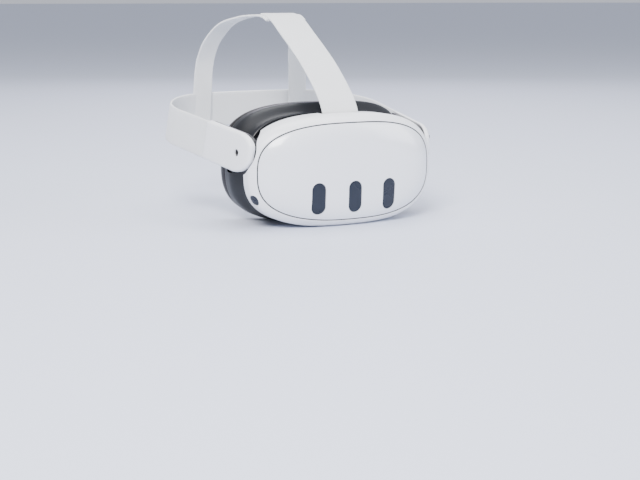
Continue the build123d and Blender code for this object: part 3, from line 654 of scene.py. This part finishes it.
def interface_ring(share, inset):
    """Ring of the interface body; share 0 is its front edge and 1 its rear edge."""
    grow = np.clip((share - 0.15) / 0.6, 0, 1)
    grow = grow * grow * (3 - 2 * grow)
    width = SKIRT_W + (FACE_W - SKIRT_W) * grow - inset
    height = SKIRT_H + (FACE_H - SKIRT_H) * grow - inset
    x, z = FACE_OUTLINE[:, 0] * width, FACE_OUTLINE[:, 1] * height + FACE_Z * grow
    y = SKIRT_FRONT * (1 - share) + (FACE_FRONT + x**2 / FACE_BOW) * share
    return np.stack((x, y, np.maximum(z, BASE_Z + 0.1 + inset)), 1)


def make_interface():
    outer = [interface_ring(s, 0) for s in np.linspace(0.02, 0.97, 22)]
    rear = [interface_ring(0.99, 0.12), interface_ring(1.0, 0.5), interface_ring(1.0, 1.3), interface_ring(0.985, 1.75)]
    inner = [interface_ring(s, 1.8) for s in np.linspace(0.9, 0.05, 9)]
    body = skin("interface_shell", [interface_ring(0.0, 0.5), *outer, *rear, *inner, interface_ring(0.0, 1.4)],
                "gloss_black", closed=True, angle=40)
    turn = np.linspace(0, 2 * pi, 64, endpoint=False)
    arch = np.stack((NOSE_W * np.cos(turn), BASE_Z + NOSE_H * np.sin(turn)), 1)
    cutters = [prism("nose_cutter", arch, 60, 120)]
    for side in (1, -1):
        outline = pill(3.8, 2.0, 10)
        rings = [np.stack((np.full(len(outline), side * x), 73 + outline[:, 1], outline[:, 0]), 1) for x in (70, 100)]
        cutters.append(skin("button_hole", rings, "black"))
    cut(body, *cutters, angle=40)
    return fit(body, "facial_interface", "black_plastic", "interface_frame")


def cushion_section(size):
    """Section of the cushion: offsets outwards and backwards, scaled down towards its ends."""
    turn = np.linspace(0, 2 * pi, 28, endpoint=False)
    out = np.sign(np.cos(turn)) * np.abs(np.cos(turn)) ** 0.8
    back = np.sign(np.sin(turn)) * np.abs(np.sin(turn)) ** 0.75
    return np.stack((6.6 * size * out, 7.3 * size * back * (1 - 0.12 * out)), 1)


def make_cushion():
    count = 150
    start = radians(-90 + 16)
    turn = np.linspace(start, radians(270 - 16), 2001)
    x = np.sign(np.cos(turn)) * np.abs(np.cos(turn)) ** (2 / FACE_POWER) * (FACE_W - 7.0)
    z = np.sign(np.sin(turn)) * np.abs(np.sin(turn)) ** (2 / FACE_POWER) * (FACE_H - 6.9) + FACE_Z
    keep = np.abs(x) >= np.where(z < -20, NOSE_W + 1.0, 0)
    line = smooth_path(np.stack((x, z), 1)[keep][::20], count)
    forward = np.gradient(line, axis=0)
    forward /= np.linalg.norm(forward, axis=1)[:, None]
    outward = np.stack((forward[:, 1], -forward[:, 0]), 1)
    run = np.arange(count) / (count - 1)
    near = np.minimum(run, 1 - run) * count / 3.2
    size = np.sqrt(1 - np.clip(1 - near, 0, 0.985) ** 2)
    rings = []
    for (px, pz), (ox, oz), scale in zip(line, outward, size):
        section = cushion_section(scale)
        sx, sz = px + ox * section[:, 0], pz + oz * section[:, 0]
        y = FACE_FRONT + 7.6 + sx**2 / FACE_BOW + section[:, 1]
        rings.append(np.stack((sx, y, np.maximum(sz, BASE_Z + 0.1)), 1))
    cushion = skin("face_cushion_padding", rings, "cushion", angle=80)
    fit(cushion, "facial_interface", "foam_black", "face_cushion")


# ---------------------------------------------------------------- arms


def arm_outline(inset):
    """Side view of an arm about the hinge: full front end, square back end with soft corners."""
    tip, top, low = inset - BAND_HALF, BAND_HALF - inset, inset - BAND_HALF
    corner = max(2.6 - inset, 0.25)
    end = ARM_END - inset
    scale = top / BAND_HALF
    sizes = (18.8 * scale, 11.6 * scale), (24.0 * scale, 15.0 * scale)
    turn = np.linspace(pi / 2, pi, 22)[:, None]
    upper = np.concatenate((np.cos(turn), np.sin(turn)), 1) * sizes[0] + (tip + sizes[0][0], top - sizes[0][1])
    turn = np.linspace(pi, 3 * pi / 2, 22)[:, None]
    lower = np.concatenate((np.cos(turn), np.sin(turn)), 1) * sizes[1] + (tip + sizes[1][0], low + sizes[1][1])
    run = np.linspace(0, 1, 12)[1:, None]
    bottom = lower[-1] + run * (np.array((end - corner, low)) - lower[-1])
    bend = np.linspace(-pi / 2, 0, 6)[1:]
    heel = np.stack((end - corner + corner * np.cos(bend), low + corner + corner * np.sin(bend)), 1)
    rise = heel[-1] + np.linspace(0, 1, 9)[1:, None] * np.array((0, 2 * (top - corner)))
    bend = np.linspace(0, pi / 2, 6)[1:]
    head = np.stack((end - corner + corner * np.cos(bend), top - corner + corner * np.sin(bend)), 1)
    return np.concatenate((upper, lower, bottom, heel, rise, head, head[-1] + run[:-1] * (upper[0] - head[-1])))


def arm_surface(side, flat, depth):
    """Points of an arm from its side view, depth inside the outer face."""
    u, v = flat[:, 0], flat[:, 1]
    x = BAND_X + tan(SPLAY) * u - tan(FLARE) * v - FRONT_CURL * np.minimum(u, 0) ** 2 - depth / cos(SPLAY)
    place = PIVOT + u[:, None] * ALONG + v[:, None] * RISE
    place[:, 0] = side * x
    return place


def arm_solid(name, side, low, high, edge, inset, material, crown=0.0):
    """Plate of an arm between two depths, with rounded edges."""
    rings = []

    def ring(extra, depth):
        flat = arm_outline(inset + extra)
        dome = crown * (1 - (flat[:, 1] / BAND_HALF) ** 2) * (1 - np.clip(flat[:, 0] / ARM_END, 0, 1) ** 6)
        rings.append(arm_surface(side, flat, depth - (dome if depth < high - 0.01 else 0)))

    for extra in (16.9 - inset, 14, 10, 7, 4.5):
        ring(extra, low)
    for angle in np.linspace(0, pi / 2, 7):
        ring(edge * (1 - sin(angle)), low + edge * (1 - cos(angle)))
    ring(0, high - 0.4)
    ring(0.4, high)
    for extra in (5, 11, 16.9 - inset):
        ring(extra, high)
    return skin(name, rings, material, angle=50)


def make_arms():
    for side, word in ((1, "left"), (-1, "right")):
        shell = arm_solid(f"arm_cover_{word}", side, 0.0, ARM_SHELL, 2.3, 0.0, "shell", 0.5)
        liner = arm_solid(f"arm_lining_{word}", side, ARM_SHELL, ARM_DEPTH, 1.2, 0.9, "black")
        if side < 0:
            jack_lo, jack_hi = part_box("audio_jack")
            middle = (np.array((jack_lo + jack_hi) / 2) - DATUM) / MM
            hole = [(x, middle[1], middle[2]) for x in (-110, -80)]
            cut(shell, rod("jack_hole", *hole, JACK_HOLE_R), angle=40)
            cut(liner, rod("jack_hole", *hole, JACK_HOLE_R), angle=40)
        else:
            port_lo, port_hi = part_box("charging_port")
            middle = (np.array((port_lo + port_hi) / 2) - DATUM) / MM
            for target in (shell, liner):
                outline = pill(2.25, 2.95, 10)
                rings = [np.stack((np.full(len(outline), x), middle[1] + outline[:, 1], middle[2] + outline[:, 0]), 1)
                         for x in (80, 110)]
                cut(target, skin("port_hole", rings, "black"), angle=40)
        fit(shell, "headband", "shell_white", f"arm_shell_{word}")
        fit(liner, "headband", "black_plastic", f"arm_liner_{word}")


# ---------------------------------------------------------------- straps


def band_curve(inset, count):
    """Plan of the band from the left arm's end round the back to the right arm's end."""
    run_way = np.array((sin(SPLAY), cos(SPLAY)))
    normal = np.array((cos(SPLAY), -sin(SPLAY)))
    back_centre = np.array((0, BAND_BACK - BAND_BACK_R))
    reach = np.array((BAND_X, 0)) - normal * BAND_CORNER - back_centre
    along = reach @ run_way
    run = -along + sqrt(along**2 - reach @ reach + (BAND_BACK_R - BAND_CORNER) ** 2)
    centre = back_centre + reach + run_way * run
    toward = (centre - back_centre) / np.linalg.norm(centre - back_centre)
    start = np.array((BAND_X, 0)) - normal * inset + run_way * (ARM_END - 3.0)
    first = centre + normal * (BAND_CORNER - inset)
    angles = np.linspace(-SPLAY, np.arctan2(toward[1], toward[0]), 40)
    corner = centre + (BAND_CORNER - inset) * np.stack((np.cos(angles), np.sin(angles)), 1)
    sweep = np.linspace(np.arctan2(toward[1], toward[0]), pi / 2, 30)[1:]
    back = back_centre + (BAND_BACK_R - inset) * np.stack((np.cos(sweep), np.sin(sweep)), 1)
    line = start + np.linspace(0, 1, 40, endpoint=False)[:, None] * (first - start)
    half = np.concatenate((line, corner, back))
    whole = np.concatenate((half, (half * (-1, 1))[-2::-1]))
    run = np.concatenate(([0], np.cumsum(np.linalg.norm(np.diff(whole, axis=0), axis=1))))
    even = np.linspace(0, run[-1], count)
    return np.stack((np.interp(even, run, whole[:, 0]), np.interp(even, run, whole[:, 1])), 1), run[-1]


def band_place(flat, rise):
    """Points of the band plane from plan positions and heights above the mid plane."""
    place = PIVOT + flat[:, 1:2] * ALONG + rise * RISE
    place[:, 0] = flat[:, 0]
    return place


def band_lean(flat):
    """Width direction of the band: it leans in at the top along the sides."""
    side = np.clip((flat[:, 0] / 100.0), -1, 1)
    side = np.sign(side) * np.abs(side) ** 1.5
    return RISE - np.outer(tan(FLARE) * side, (1.0, 0, 0))


def make_band():
    flat, length = band_curve(1.5, 190)
    path = band_place(flat, 0.0)
    band = ribbon("elastic_band", path, band_lean(flat), 2 * BAND_HALF - 0.6, 2.1)
    fit(band, "headband", "strap_fabric", "side_strap_left", "side_strap_right", "rear_band")


def make_sliders():
    """Flat rounded plates the rear band runs through, one under each leg."""
    for side, word in ((1, "left"), (-1, "right")):
        rings = []
        for depth, inset in ((0.0, 0.4), (0.3, 0.0), (1.3, 0.0), (1.6, 0.4)):
            flat = pill(SLIDER_R - inset, SLIDER_HALF, 8)
            x = side * SLIDER_X + flat[:, 0]
            along = BAND_BACK - 0.9 + depth - x**2 / (2 * BAND_BACK_R)
            rings.append(np.stack((x, PIVOT[1] + along * ALONG[1], PIVOT[2] + along * ALONG[2]), 1) + flat[:, 1:] * RISE)
        plate = skin(f"strap_slider_plate_{word}", rings, "black")
        fit(plate, f"slider_{word}", "black_plastic", f"strap_slider_{word}")


LEG_STATIONS = (
    (52.4, 216.4, 66.0, 1), (51.9, 215.2, 78.0, 4), (50.4, 212.4, 92.0, 6), (46.9, 204.3, 108.0, 10),
    (37.4, 192.2, 123.8, 16), (26.0, 177.9, 130.8, 27), (16.9, 164.2, 132.8, 28), (12.6, 150.0, 132.2, 18),
    (11.2, 138.0, 128.6, 8),
)
LEG_X, LEG_WIDTH = 52.9, 19.8


def leg_path(side):
    """Path and width directions of a rear leg, from the band's lower edge to the crown."""
    base_u = BAND_BACK - 3.6 - LEG_X**2 / (2 * BAND_BACK_R)
    rows = []
    for rise in (-16.6, -6, 6, 15):
        place = PIVOT + base_u * ALONG + rise * RISE
        rows.append((LEG_X, place[1], place[2], 0.0))
    rows += LEG_STATIONS
    line = smooth_path(rows, 110)
    turn = np.radians(line[:, 3])
    across = np.stack((side * np.cos(turn), -np.sin(turn), np.zeros_like(turn)), 1)
    return line[:, :3] * (side, 1, 1), across


STRAP_PROFILE = (
    (29.6, 47.2), (30.8, 52.5), (38.0, 63.0), (53.0, 77.0), (72.0, 92.0), (92.0, 105.0), (113.0, 117.6),
    (131.0, 128.4), (143.0, 133.2), (155.0, 135.2),
)
STRAP_WIDTH = 36.0


def make_top_strap():
    line = smooth_path(STRAP_PROFILE, 90)
    path = np.stack((np.zeros(len(line)), line[:, 0], line[:, 1] - 1.0), 1)
    strap = ribbon("top_strap_webbing", path, np.tile((1.0, 0, 0), (len(path), 1)), STRAP_WIDTH, 1.9)
    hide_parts("top_strap", "strap_tab")
    bar = rod("strap_anchor_bar", (-19.2, 31.9, 47.3), (19.2, 31.9, 47.3), 1.1, 24)
    fit(bar, "headset", "black_plastic", "strap_anchor")
    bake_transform(strap)
    for side, word in ((1, "left"), (-1, "right")):
        legs, across = leg_path(side)
        leg = ribbon(f"rear_leg_{word}", legs, across, LEG_WIDTH, 1.9)
        fit(leg, "headband", "strap_fabric", f"strap_leg_{word}")


MATERIAL = make_materials()
make_camera()
make_stage()
dress_cad()
make_cover()
make_windows()
make_rim()
make_side_windows()
make_seal()
make_interface()
make_cushion()
make_arms()
make_band()
make_sliders()
make_top_strap()
